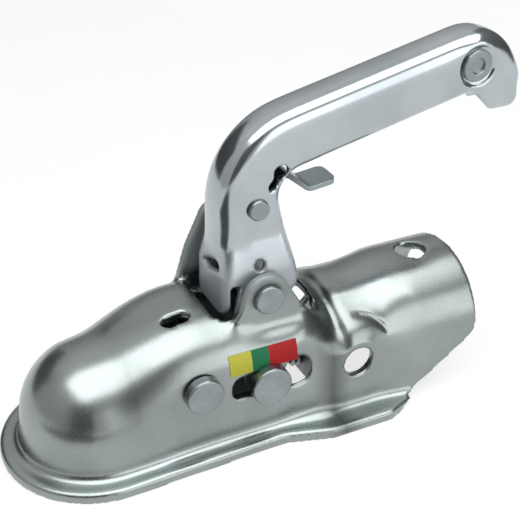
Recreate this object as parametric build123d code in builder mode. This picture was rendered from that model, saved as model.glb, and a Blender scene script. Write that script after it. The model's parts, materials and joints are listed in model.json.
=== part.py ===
from build123d import *
import math
import os

# Trailer coupling head, millimetres. The origin is the centre of the tow ball, X runs back along
# the drawbar, Z is up, and the lip rests on the plane z = -seat_height.

# Ball socket and pressed sheet
ball_diameter = 50.0
ball_gap = 0.4
wall = 4.0
seat_height = 15.5

# Lip round the foot of the body
lip_width = 7.1
lip_thickness = 4.5
lip_cove = 3.0
lip_edge_round = 1.8
lip_jog_start = 66.0
lip_jog_length = 20.0
lip_jog_round = 14.0
lip_jog_cove = 3.5
lip_jog_fade = 10.0
rear_lip_half = 42.0
lip_end = 112.0
lip_end_taper_x = 20.0
lip_end_taper_y = 8.0

# Body shape along X
nose_length = 40.0
nose_rise = 0.7
nose_lean = 6.0
throat_half = 29.0
throat_top = 39.5
throat_corner = 22.0
crown_start = 80.0
crown_length = 16.0
crown_flat = 0.1
tube_diameter = 45.0
tube_gap = 0.2
sleeve_axis_z = 7.3
sleeve_lean = 12.0
bell_start = 108.0
bell_length = 26.0
bell_half = 29.4
sleeve_end = 160.5
cut_start = 118.0
cut_top_z = 8.0
cut_corner_round = 9.0
section_steps = 6

# Riser with the lever's ears, and the hollow pressed beside it
riser_half = 20.5
riser_top_z = 34.6
ledge_z = 31.0
ledge_flat = 1.5
ledge_round = 5.0
ledge_turn = 30.0
hollow_front = 45.0
hollow_ramp = 14.0
hollow_ramp_round = 14.0
hollow_rear = 100.0
mouth_front = 44.5
mouth_rear = 90.5
mouth_round = 6.0
ear_round = 9.5
ear_foot_front = 51.5
ear_foot_rear = 82.0
ear_rear_z = 35.0
ear_foot_round = 9.0
tall_ear_front = 41.5
tall_ear_foot_z = 33.0
tall_ear_foot_rear = 82.0
tall_ear_knee_x = 47.5
tall_ear_knee_z = 52.0
tall_ear_peak_x = 56.0
tall_ear_top_z = 70.0
tall_ear_rear_x = 72.0
tall_ear_round = 7.0

# Holes in the body
cross_hole_x = 102.8
cross_hole_z = 8.7
bolt_hole_diameter = 13.0
pad_diameter = 35.0
pad_half = 29.3
pad_round = 5.0
top_hole_x = 143.5
drain_slot_x = 31.5
drain_slot_y = 9.0
drain_slot_length = 11.0
drain_slot_width = 6.0
gauge_slot_front = 46.7
gauge_slot_rear = 80.9
gauge_slot_height = 10.0
gauge_slot_round = 3.5

# Pins, bolts and their fits
running_fit = 0.05
face_gap = 0.15
jaw_pin_x = 33.5
jaw_pin_z = 16.5
jaw_pin_diameter = 10.0
jaw_pin_head_diameter = 15.0
pin_head_height = 4.0
pin_head_round = 0.8
nut_bevel = 0.9
jaw_pin_seat_gap = 0.4
gauge_x = 61.5
gauge_z = 12.5
gauge_diameter = 9.6
gauge_head_diameter = 16.5
gauge_head_gap = 0.6
gauge_washer_diameter = 18.0
gauge_washer_thickness = 1.6
gauge_nut_across = 15.0
gauge_nut_height = 6.0
pivot_x = 65.2
pivot_z = 45.1
pivot_diameter = 10.0
pivot_head_diameter = 12.0
pivot_head_height = 2.6
pivot_nut_across = 16.0
pivot_nut_height = 7.0
pivot_washer_diameter = 18.0
pivot_washer_thickness = 1.8
bush_diameter = 12.5
pivot_spacer_wall = 1.2
spacer_wall = 2.6
spacer_inset = 1.6

# Locking jaw and slide
jaw_room = 6.0
jaw_hub_round = 9.0
jaw_front = 17.0
jaw_back = 43.0
jaw_bottom_z = -10.0
jaw_shoulder_z = 8.0
jaw_edge = 1.0
slide_room = 5.0
slide_rear = 72.0
slide_bottom_z = -9.5
slide_top_z = 24.0
slide_nose_bevel = 4.0
horn_half = 6.2
horn_thickness = 6.0
horn_top_z = 37.0
contact_gap = 0.3

# Lock spring and the plate behind it
spring_z = -1.0
spring_wire = 1.8
spring_mean_radius = 4.6
spring_turns = 6
wire_sides = 8
spring_pocket_radius = 6.0
spring_pocket_depth = 16.0
stop_plate_front = 90.0
stop_plate_thickness = 3.0
stop_plate_top_z = 12.0
stop_plate_bottom_z = -9.0
spigot_radius = 3.2
spigot_length = 5.0
weld_gap = 0.05

# Lever, a pressed channel
lever_half = 10.0
lever_sheet = 3.0
lever_bend = 4.5
lever_foot_half = 14.0
flare_top_z = 67.0
flare_low_z = 52.0
flare_round = 14.0
stem_front = 50.0
stem_foot_z = 34.6
stem_flange_z = 48.5
stem_flange_front = 57.0
stem_foot_round = 8.0
grip_angle = 12.6
grip_corner_round = 38.0
grip_depth = 24.4
grip_start_z = 108.1
grip_end_x = 160.0
hook_tip_x = 184.0
hook_tip_z = 98.0
hook_shoulder_x = 175.6
hook_shoulder_z = 127.4
hook_length = 11.0
hook_width = 14.0
hook_lean = 0.8
hook_round = 5.0
stem_rear_x = 84.4
stem_rear_z = 41.0
stem_lean = 12.5
inner_corner_round = 11.0
drive_radius = 12.0
drive_lug_round = 5.0
lever_travel = 55.0
tongue_round = 8.0
web_slot_length = 15.0
web_slot_width = 3.4
web_slot_z = 52.6
web_slot_tilt = -17.0
sight_hole_x = 65.4
sight_hole_z = 54.7
sight_hole_diameter = 4.6
keyhole_x = 75.5
keyhole_z = 91.0
keyhole_diameter = 6.3
keyhole_tail_x = 71.6
keyhole_tail_z = 85.5
keyhole_tail_width = 3.0
grip_rivet_x = 160.7
grip_rivet_z = 119.2
grip_rivet_diameter = 8.0
grip_rivet_ring = 13.0
grip_rivet_cup = 6.0
grip_cup_depth = 1.0
cup_round = 0.5
grip_dimple_diameter = 17.0
grip_dimple_depth = 1.2

# Drive pin and roller in the foot of the lever
drive_pin_diameter = 6.0
drive_roller_diameter = 9.0
drive_head_height = 1.6
drive_head_diameter = 8.0

# Safety catch in the lever
catch_x = 65.9
catch_z = 77.9
catch_rivet_diameter = 6.0
catch_rivet_head = 8.5
catch_rivet_height = 1.5
catch_half = 6.4
catch_sheet = 2.0
catch_hub_round = 5.0
catch_nose_x = 57.0
catch_nose_z = 57.0
catch_nose_round = 3.0
tab_crest_x = 78.5
tab_crest_z = 89.0
tab_dip_x = 89.5
tab_dip_z = 79.6
tab_tip_x = 101.5
tab_tip_z = 81.0
tab_bend = 4.0
tab_corner = 3.0
tab_root_distance = 9.0
tab_root_round = 2.5
catch_wire = 1.0
catch_coil_radius = 4.1
catch_coil_turns = 4
catch_leg = 6.0

# Gauge label on the near wall
label_front = 45.4
label_rear = 74.3
label_bottom_z = 19.3
label_top_z = 27.6
label_thickness = 0.25
label_gap = 0.02

# Values that follow from the driving sizes
base_z = -seat_height
under_z = base_z - lip_thickness
socket_radius = ball_diameter / 2 + ball_gap
dome_half = socket_radius + wall
waist_half = tube_diameter / 2 + tube_gap + wall
sleeve_start = crown_start + crown_length
bell_end = bell_start + bell_length
inner_half = throat_half - wall
jaw_half = inner_half - jaw_room
slide_half = inner_half - slide_room
mouth_half = riser_half - wall
foot_inner = lever_foot_half - lever_sheet
swing = math.radians(lever_travel / 2)
drive_x = pivot_x - drive_radius * math.sin(swing)
drive_z = pivot_z - drive_radius * math.cos(swing)
slide_front = jaw_back + contact_gap
horn_front = drive_x + drive_roller_diameter / 2 + face_gap
spring_front = slide_rear - spring_pocket_depth
high_z = tall_ear_top_z + ear_round


def ease(place, start, length):
    """Smooth step from 0 to 1 over one stretch of the body."""
    share = min(max((place - start) / length, 0.0), 1.0)
    return share * share * (3.0 - 2.0 * share)


def mix(first, last, share):
    """Value part of the way from first to last."""
    return first + (last - first) * share


def arch_sizes(x):
    """Wall half-width, top height, shoulder radius and lean of the wall of the body at x."""
    nose = ease((max(x, 0.0) / nose_length) ** nose_rise, 0.0, 1.0)
    crown = ease(x, crown_start, crown_length)
    bell = ease(x, bell_start, bell_length)
    half = mix(mix(mix(dome_half, throat_half, nose), waist_half, crown), bell_half, bell)
    sleeve_top = sleeve_axis_z + mix(waist_half, bell_half, bell)
    top = mix(mix(dome_half, throat_top, nose), sleeve_top, crown)
    corner = mix(mix(dome_half - crown_flat, throat_corner, nose), half - crown_flat, crown)
    lean = math.radians(mix(mix(nose_lean, 0.0, nose), sleeve_lean, crown))
    return half, top, corner, lean


def shoulder_end(x, inset):
    """Place across and up where the shoulder of the section at x meets its leaning wall."""
    half, top, corner, lean = arch_sizes(x)
    radius = corner - inset
    return half - corner + radius * math.cos(lean), top - corner + radius * math.sin(lean)


def wall_place(x, z, inset):
    """Half-width of the leaning wall of the section at x, at height z."""
    across, up = shoulder_end(x, inset)
    return across + math.tan(arch_sizes(x)[3]) * (up - z)


def cove_size(x):
    """Radius of the cove between wall and lip at x, larger where the lip jogs outwards."""
    jog = ease(x, lip_jog_start, lip_jog_length)
    fade = ease(x, lip_jog_start + lip_jog_length, lip_jog_fade)
    return lip_cove + lip_jog_cove * jog * (1.0 - fade)


def outer_half_line(x):
    """Right half of the outer section at x, from the middle of the base to the middle of the top."""
    half, top, corner, _ = arch_sizes(x)
    cove = cove_size(x)
    lip_z = base_z + lip_thickness
    foot = wall_place(x, lip_z + cove, 0.0)
    with BuildLine() as line:
        Polyline((0, base_z), (foot + cove, base_z), (foot + cove, lip_z))
        RadiusArc((foot + cove, lip_z), (foot, lip_z + cove), cove)
        Line((foot, lip_z + cove), shoulder_end(x, 0.0))
        RadiusArc(shoulder_end(x, 0.0), (half - corner, top), -corner)
        Line((half - corner, top), (0, top))
    return line.line


def inner_half_line(x, inset):
    """Right half of the section inside the sheet at x, open below the base."""
    half, top, corner, _ = arch_sizes(x)
    with BuildLine() as line:
        Polyline((0, under_z), (wall_place(x, under_z, inset), under_z), shoulder_end(x, inset))
        RadiusArc(shoulder_end(x, inset), (half - corner, top - inset), -(corner - inset))
        Line((half - corner, top - inset), (0, top - inset))
    return line.line


def whole_section(half_line, x):
    """Face of a section at x from its right half."""
    with BuildSketch(Plane.YZ.offset(x)) as face:
        with BuildLine():
            add(half_line)
            mirror(half_line, about=Plane.YZ)
        make_face()
    return face.sketch


def half_section(half_line):
    """Face of the right half of a section, on the plane through the ball."""
    with BuildSketch(Plane.YZ) as face:
        with BuildLine():
            add(half_line)
            Line(half_line @ 1, half_line @ 0)
        make_face()
    return face.sketch


def stations(start, end, count):
    """Evenly spaced places along X, both ends included."""
    return [start + (end - start) * step / count for step in range(count + 1)]


body_runs = [
    stations(0.0, nose_length, section_steps),
    [nose_length, lip_jog_start],
    stations(lip_jog_start, crown_start, section_steps),
    stations(crown_start, sleeve_start, section_steps),
    [sleeve_start, bell_start],
    stations(bell_start, bell_end, section_steps),
    [bell_end, sleeve_end],
]


def pressed_form(half_line):
    """Closed form of the body: a turned dome in front and lofted runs behind it.

    half_line gives the right half of the section at a place along X.
    """
    dome_face = half_section(half_line(0.0))
    run_faces = [[whole_section(half_line(x), x) for x in run] for run in body_runs]
    with BuildPart() as form:
        revolve(dome_face, axis=Axis.Z, revolution_arc=180)
        for faces in run_faces:
            loft(sections=faces)
    return form.part


def side_hollow(grow):
    """Hollow beside the riser on the left side, made larger all round by grow."""
    reach = 2 * throat_half
    inner_y = riser_half - grow
    floor_z = ledge_z - grow
    edge_y = riser_half + ledge_flat
    edge_round = ledge_round - grow
    edge_turn = math.radians(ledge_turn)
    edge_end = (edge_y + edge_round * math.cos(edge_turn), floor_z - edge_round * (1.0 - math.sin(edge_turn)))
    ramp_slope = hollow_ramp / (throat_half - riser_half)
    ramp_end = hollow_front + hollow_ramp + grow * (ramp_slope - math.hypot(1.0, ramp_slope))
    with BuildSketch(Plane.XY.offset(under_z)) as plan:
        with BuildLine():
            Polyline(
                (ramp_end, inner_y),
                (hollow_rear, inner_y),
                (hollow_rear, reach),
                (ramp_end - ramp_slope * (reach - inner_y), reach),
                close=True,
            )
        make_face()
        fillet(plan.vertices().sort_by_distance((ramp_end, inner_y, under_z))[0], hollow_ramp_round + grow)
    with BuildSketch(Plane.YZ.offset(-hollow_rear)) as section:
        with BuildLine():
            Polyline(
                edge_end,
                (reach, edge_end[1]),
                (reach, high_z),
                (0.0, high_z),
                (0.0, floor_z),
                (edge_y, floor_z),
            )
            RadiusArc((edge_y, floor_z), edge_end, edge_round)
        make_face()
    with BuildPart() as hollow:
        extrude(plan.sketch, amount=high_z - under_z)
        extrude(section.sketch, amount=2 * hollow_rear, mode=Mode.INTERSECT)
    return hollow.part


def lip_plan():
    """Outline of the lip, seen from above."""
    nose_half = wall_place(0.0, base_z, 0.0) + lip_width
    throat_lip = throat_half + lip_width
    jog_end = lip_jog_start + lip_jog_length
    with BuildSketch(Plane.XY.offset(base_z)) as plan:
        with BuildLine():
            ThreePointArc((0, nose_half), (-nose_half, 0), (0, -nose_half))
            for side in (1, -1):
                Polyline(
                    (0, side * nose_half),
                    (lip_jog_start, side * throat_lip),
                    (jog_end, side * rear_lip_half),
                    (lip_end, side * rear_lip_half),
                    (lip_end + lip_end_taper_x, side * (rear_lip_half - lip_end_taper_y)),
                )
            Line(
                (lip_end + lip_end_taper_x, rear_lip_half - lip_end_taper_y),
                (lip_end + lip_end_taper_x, lip_end_taper_y - rear_lip_half),
            )
        make_face()
        jogs = plan.vertices().filter_by(lambda v: lip_jog_start - running_fit < v.X < jog_end + running_fit)
        fillet(jogs, lip_jog_round)
    return plan.sketch


def side_plane(y, x=0.0, z=0.0):
    """Plane across the coupling at y that faces the near side, with X and Z as its own axes."""
    return Plane(origin=(x, y, z), x_dir=(1, 0, 0), z_dir=(0, -1, 0))


def both_sides(shape):
    """The shape and its mirror image on the other side of the coupling."""
    return [shape, mirror(shape, about=Plane.XZ, mode=Mode.PRIVATE)]


outer_shape = pressed_form(outer_half_line)
inner_shape = pressed_form(lambda x: inner_half_line(x, wall))
outer_hollows = both_sides(side_hollow(0.0))
inner_hollows = both_sides(side_hollow(wall))
lip_face = lip_plan()

# Space inside the sheet
with BuildPart() as inner_form:
    add(inner_shape)
    with BuildSketch(side_plane(pad_half - wall, cross_hole_x, cross_hole_z)):
        Circle(pad_diameter / 2 - wall)
    extrude(amount=2 * (pad_half - wall))
    for hollow in inner_hollows:
        add(hollow, mode=Mode.SUBTRACT)

# Soft pads round the cross bolt
with BuildPart() as pads:
    with BuildSketch(side_plane(pad_half, cross_hole_x, cross_hole_z)):
        Circle(pad_diameter / 2)
    extrude(amount=2 * pad_half)
    fillet(pads.edges().filter_by(GeomType.CIRCLE), pad_round)

with BuildPart() as outer_form:
    add(outer_shape)
    add(pads.part)
    for hollow in outer_hollows:
        add(hollow, mode=Mode.SUBTRACT)

with BuildPart() as lip:
    extrude(lip_face, amount=lip_thickness)
    lip_edges = lip.edges().group_by(Axis.Z)[-1]
    fillet(lip_edges.filter_by(lambda edge: edge.center().X < lip_end - running_fit), lip_edge_round)

# Coupling body: the pressed sheet with its ears, its slanted rear and its holes
with BuildPart() as coupling_body:
    add(outer_form.part)
    add(lip.part)
    add(inner_form.part, mode=Mode.SUBTRACT)
    with BuildSketch(Plane.XY.offset(ledge_z)):
        with Locations(((mouth_front + mouth_rear) / 2, 0)):
            RectangleRounded(mouth_rear - mouth_front, 2 * mouth_half, mouth_round)
    extrude(amount=high_z, mode=Mode.SUBTRACT)
    with BuildSketch(side_plane(-mouth_half)) as near_ear:
        with Locations((pivot_x, pivot_z)):
            Circle(ear_round)
        with BuildLine():
            Polyline(
                (ear_foot_front, riser_top_z),
                (ear_foot_front, ledge_z),
                (ear_foot_rear, ledge_z),
                (ear_foot_rear, ear_rear_z),
                close=True,
            )
        make_face()
        make_hull()
        with Locations((mouth_front, riser_top_z)):
            Rectangle(pivot_x - mouth_front, riser_top_z - ledge_z, align=(Align.MIN, Align.MAX))
        fillet(near_ear.vertices().sort_by_distance((ear_foot_front, riser_top_z))[0], ear_foot_round)
    extrude(amount=wall)
    with BuildSketch(side_plane(riser_half)) as tall_ear:
        with BuildLine():
            Polyline(
                (tall_ear_front, tall_ear_foot_z),
                (tall_ear_knee_x, tall_ear_knee_z),
                (tall_ear_peak_x, tall_ear_top_z),
                (tall_ear_rear_x, tall_ear_top_z),
                (tall_ear_foot_rear, tall_ear_foot_z),
                close=True,
            )
        make_face()
        fillet(tall_ear.vertices().filter_by(lambda v: v.Y > riser_top_z), tall_ear_round)
    extrude(amount=wall)
    with BuildSketch(side_plane(0)) as kept_side:
        cut_slope = (cut_top_z - base_z) / (sleeve_end - cut_start)
        with BuildLine():
            Polyline(
                (cut_start + (under_z - base_z) / cut_slope, under_z),
                (sleeve_end, cut_top_z),
                (sleeve_end, high_z),
                (-sleeve_end, high_z),
                (-sleeve_end, under_z),
                close=True,
            )
        make_face()
        fillet(kept_side.vertices().sort_by_distance((sleeve_end, cut_top_z))[0], cut_corner_round)
    extrude(amount=sleeve_end, both=True, mode=Mode.INTERSECT)
    with BuildSketch(side_plane(sleeve_end)):
        with Locations((jaw_pin_x, jaw_pin_z)):
            Circle(jaw_pin_diameter / 2 + running_fit)
        with Locations((pivot_x, pivot_z)):
            Circle(pivot_diameter / 2 + running_fit)
        with Locations((cross_hole_x, cross_hole_z)):
            Circle(bolt_hole_diameter / 2)
        with Locations(((gauge_slot_front + gauge_slot_rear) / 2, gauge_z)):
            RectangleRounded(gauge_slot_rear - gauge_slot_front, gauge_slot_height, gauge_slot_round)
    extrude(amount=2 * sleeve_end, mode=Mode.SUBTRACT)
    with BuildSketch(Plane.XY.offset(sleeve_axis_z)):
        with Locations((top_hole_x, 0)):
            Circle(bolt_hole_diameter / 2)
        with Locations((drain_slot_x, -drain_slot_y)):
            SlotOverall(drain_slot_length, drain_slot_width)
    extrude(amount=high_z, mode=Mode.SUBTRACT)
coupling_body.part.label = "coupling_body"

# Plate welded across the body behind the lock spring
plate_faces = [
    whole_section(inner_half_line(x, wall + weld_gap), x)
    for x in (stop_plate_front, stop_plate_front + stop_plate_thickness)
]
with BuildPart() as stop_plate:
    loft(sections=plate_faces)
    with BuildSketch(Plane.XY.offset(stop_plate_bottom_z)):
        with Locations((stop_plate_front, 0)):
            Rectangle(4 * stop_plate_thickness, 2 * (pad_half - wall - weld_gap))
    extrude(amount=stop_plate_top_z - stop_plate_bottom_z, mode=Mode.INTERSECT)
    with BuildSketch(Plane.YZ.offset(stop_plate_front - spigot_length)):
        with Locations((0, spring_z)):
            Circle(spigot_radius)
    extrude(amount=spigot_length)
stop_plate.part.label = "stop_plate"

# Jaw pin, riveted over at both ends, and its spacers
jaw_pin_seat = throat_half + jaw_pin_seat_gap
with BuildPart() as jaw_pin:
    with BuildSketch(side_plane(jaw_pin_seat, jaw_pin_x, jaw_pin_z)):
        Circle(jaw_pin_diameter / 2)
    extrude(amount=2 * jaw_pin_seat)
    for seat in (jaw_pin_seat + pin_head_height, -jaw_pin_seat):
        with BuildSketch(side_plane(seat, jaw_pin_x, jaw_pin_z)):
            Circle(jaw_pin_head_diameter / 2)
        extrude(amount=pin_head_height)
    fillet(jaw_pin.edges().group_by(Axis.Y)[0] + jaw_pin.edges().group_by(Axis.Y)[-1], pin_head_round)
jaw_pin.part.label = "jaw_pin"

with BuildPart() as jaw_spacers:
    for start in (inner_half - spacer_inset, -jaw_half - face_gap):
        with BuildSketch(side_plane(start, jaw_pin_x, jaw_pin_z)):
            Circle(jaw_pin_diameter / 2 + running_fit + spacer_wall)
            Circle(jaw_pin_diameter / 2 + running_fit, mode=Mode.SUBTRACT)
        extrude(amount=jaw_room - spacer_inset - face_gap)
jaw_spacers.part.label = "jaw_spacers"

# Jaw that closes the socket behind the ball
with BuildPart() as locking_jaw:
    with BuildSketch(side_plane(jaw_half)) as jaw_side:
        with Locations((jaw_pin_x, jaw_pin_z)):
            Circle(jaw_hub_round)
        with BuildLine():
            Polyline(
                (jaw_front, jaw_bottom_z),
                (jaw_back, jaw_bottom_z),
                (jaw_back, jaw_shoulder_z),
                close=True,
            )
        make_face()
        make_hull()
    extrude(amount=2 * jaw_half)
    Sphere(socket_radius, mode=Mode.SUBTRACT)
    with BuildSketch(side_plane(jaw_half, jaw_pin_x, jaw_pin_z)):
        Circle(jaw_pin_diameter / 2 + running_fit)
    extrude(amount=2 * jaw_half, mode=Mode.SUBTRACT)
    chamfer(locking_jaw.edges().filter_by(Axis.Y).group_by(Axis.X)[-1], jaw_edge)
locking_jaw.part.label = "locking_jaw"

# Slide that locks the jaw, with the horn that the lever's roller pushes
with BuildPart() as lock_slide:
    with BuildSketch(side_plane(slide_half)) as slide_side:
        with BuildLine():
            Polyline(
                (slide_front, slide_bottom_z),
                (slide_rear, slide_bottom_z),
                (slide_rear, slide_top_z),
                (slide_front, slide_top_z),
                close=True,
            )
        make_face()
        chamfer(slide_side.vertices().group_by(Axis.X)[0], slide_nose_bevel)
    extrude(amount=2 * slide_half)
    with BuildSketch(side_plane(horn_half)):
        with BuildLine():
            Polyline(
                (horn_front, gauge_z),
                (horn_front, horn_top_z),
                (horn_front + horn_thickness, horn_top_z),
                (horn_front + horn_thickness, gauge_z),
                close=True,
            )
        make_face()
    extrude(amount=2 * horn_half)
    fillet(lock_slide.edges().group_by(Axis.Z)[-1].filter_by(Axis.Y), jaw_edge)
    with BuildSketch(side_plane(slide_half)):
        with Locations((gauge_x, gauge_z)):
            Circle(gauge_diameter / 2 + running_fit)
    extrude(amount=2 * slide_half, mode=Mode.SUBTRACT)
    with BuildSketch(Plane.YZ.offset(spring_front)):
        with Locations((0, spring_z)):
            Circle(spring_pocket_radius)
    extrude(amount=spring_pocket_depth, mode=Mode.SUBTRACT)
lock_slide.part.label = "lock_slide"

with BuildPart() as slide_spacers:
    for start in (inner_half - spacer_inset, -slide_half - face_gap):
        with BuildSketch(side_plane(start, gauge_x, gauge_z)):
            Circle(gauge_diameter / 2 + running_fit + spacer_wall)
            Circle(gauge_diameter / 2 + running_fit, mode=Mode.SUBTRACT)
        extrude(amount=slide_room - spacer_inset - face_gap)
slide_spacers.part.label = "slide_spacers"

# Indicator bolt through the slide, with its washer and nut on the far side
gauge_seat = throat_half + gauge_head_gap
gauge_nut_seat = gauge_seat + gauge_washer_thickness + face_gap
with BuildPart() as indicator_bolt:
    with BuildSketch(side_plane(gauge_nut_seat + gauge_nut_height + pin_head_round, gauge_x, gauge_z)):
        Circle(gauge_diameter / 2)
    extrude(amount=gauge_nut_seat + gauge_nut_height + pin_head_round + gauge_seat)
    with BuildSketch(side_plane(-gauge_seat, gauge_x, gauge_z)):
        Circle(gauge_head_diameter / 2)
    extrude(amount=pin_head_height)
    fillet(indicator_bolt.edges().group_by(Axis.Y)[0], pin_head_round)
indicator_bolt.part.label = "indicator_bolt"

with BuildPart() as indicator_washer:
    with BuildSketch(side_plane(gauge_seat + gauge_washer_thickness, gauge_x, gauge_z)):
        Circle(gauge_washer_diameter / 2)
        Circle(gauge_diameter / 2 + running_fit, mode=Mode.SUBTRACT)
    extrude(amount=gauge_washer_thickness)
indicator_washer.part.label = "indicator_washer"

with BuildPart() as indicator_nut:
    with BuildSketch(side_plane(gauge_nut_seat + gauge_nut_height, gauge_x, gauge_z)):
        RegularPolygon(gauge_nut_across / 2, 6, major_radius=False)
        Circle(gauge_diameter / 2 + running_fit, mode=Mode.SUBTRACT)
    extrude(amount=gauge_nut_height)
    chamfer(indicator_nut.edges().filter_by(GeomType.LINE).group_by(Axis.Y)[-1], nut_bevel)
indicator_nut.part.label = "indicator_nut"

# Spring between the slide and the plate
spring_start = spring_front + spring_wire / 2 + face_gap
spring_length = stop_plate_front - spring_front - spring_wire - 2 * face_gap
with BuildPart() as lock_spring:
    with BuildLine() as spring_path:
        Helix(
            pitch=spring_length / spring_turns,
            height=spring_length,
            radius=spring_mean_radius,
            center=(spring_start, 0, spring_z),
            direction=(1, 0, 0),
        )
    with BuildSketch(Plane(spring_path.line @ 0, z_dir=spring_path.line % 0)):
        RegularPolygon(spring_wire / 2, wire_sides)
    sweep(is_frenet=True)
lock_spring.part.label = "lock_spring"

# Lever: outline of the whole channel and of the room inside it
grip_slope = math.tan(math.radians(grip_angle))
grip_tilt = math.cos(math.radians(grip_angle))
stem_slope = math.tan(math.radians(stem_lean))
lug_low_z = drive_z - drive_lug_round
lug_front = drive_x - drive_lug_round
channel_low_z = lug_low_z - lever_sheet
bend_step = lever_sheet / math.sqrt(2)


def grip_z(x, depth=0.0):
    """Height at x of the line that lies depth inside the outer line of the grip."""
    return grip_start_z + (x - stem_front) * grip_slope - depth / grip_tilt


def flare_face(inset):
    """Section across the lever, whose flanges spread towards the ears; made narrower by inset."""
    foot = lever_foot_half - inset
    half = lever_half - inset
    with BuildSketch(Plane.YZ) as face:
        with BuildLine():
            for side in (1, -1):
                Polyline((0, channel_low_z), (side * foot, channel_low_z), (side * foot, flare_low_z))
                Line((side * foot, flare_low_z), (side * half, flare_top_z))
                Polyline((side * half, flare_top_z), (side * half, hook_top_z), (0, hook_top_z))
        make_face()
        fillet(face.vertices().filter_by(lambda v: flare_low_z <= v.Y <= flare_top_z), flare_round)
    return face.sketch


inner_corner_z = (grip_z(0, grip_depth) + grip_slope * (stem_rear_x + stem_rear_z * stem_slope)) / (
    1 + grip_slope * stem_slope
)
inner_corner_x = stem_rear_x - (inner_corner_z - stem_rear_z) * stem_slope
hook_back_x = hook_tip_x - hook_lean
hook_back_z = hook_tip_z + hook_length
hook_top_z = hook_shoulder_z + hook_length
grip_end = (grip_end_x, grip_z(grip_end_x))
web_back = stem_front + lever_sheet
grip_end_inside = (
    grip_end_x + lever_sheet * grip_slope * grip_tilt,
    grip_z(grip_end_x) - lever_sheet * grip_tilt,
)
channel_room = flare_face(lever_sheet)
lever_room = flare_face(0.0)

with BuildPart() as channel:
    with BuildSketch(side_plane(foot_inner)) as channel_side:
        with BuildLine():
            Polyline(
                (web_back, channel_low_z),
                (web_back, grip_z(web_back, lever_sheet)),
                grip_end_inside,
            )
            ThreePointArc(
                grip_end_inside,
                (hook_shoulder_x - bend_step, hook_shoulder_z - bend_step),
                (hook_back_x - lever_sheet, hook_back_z),
            )
            Polyline(
                (hook_back_x - lever_sheet, hook_back_z),
                (hook_tip_x - lever_sheet, hook_tip_z - lever_sheet),
                (stem_rear_x + grip_depth, channel_low_z),
                (web_back, channel_low_z),
            )
        make_face()
        fillet(
            channel_side.vertices().sort_by_distance((web_back, grip_z(web_back, lever_sheet)))[0],
            grip_corner_round - lever_sheet,
        )
    extrude(amount=2 * foot_inner)
    extrude(channel_room, amount=sleeve_end + grip_end_x, mode=Mode.INTERSECT)

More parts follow.
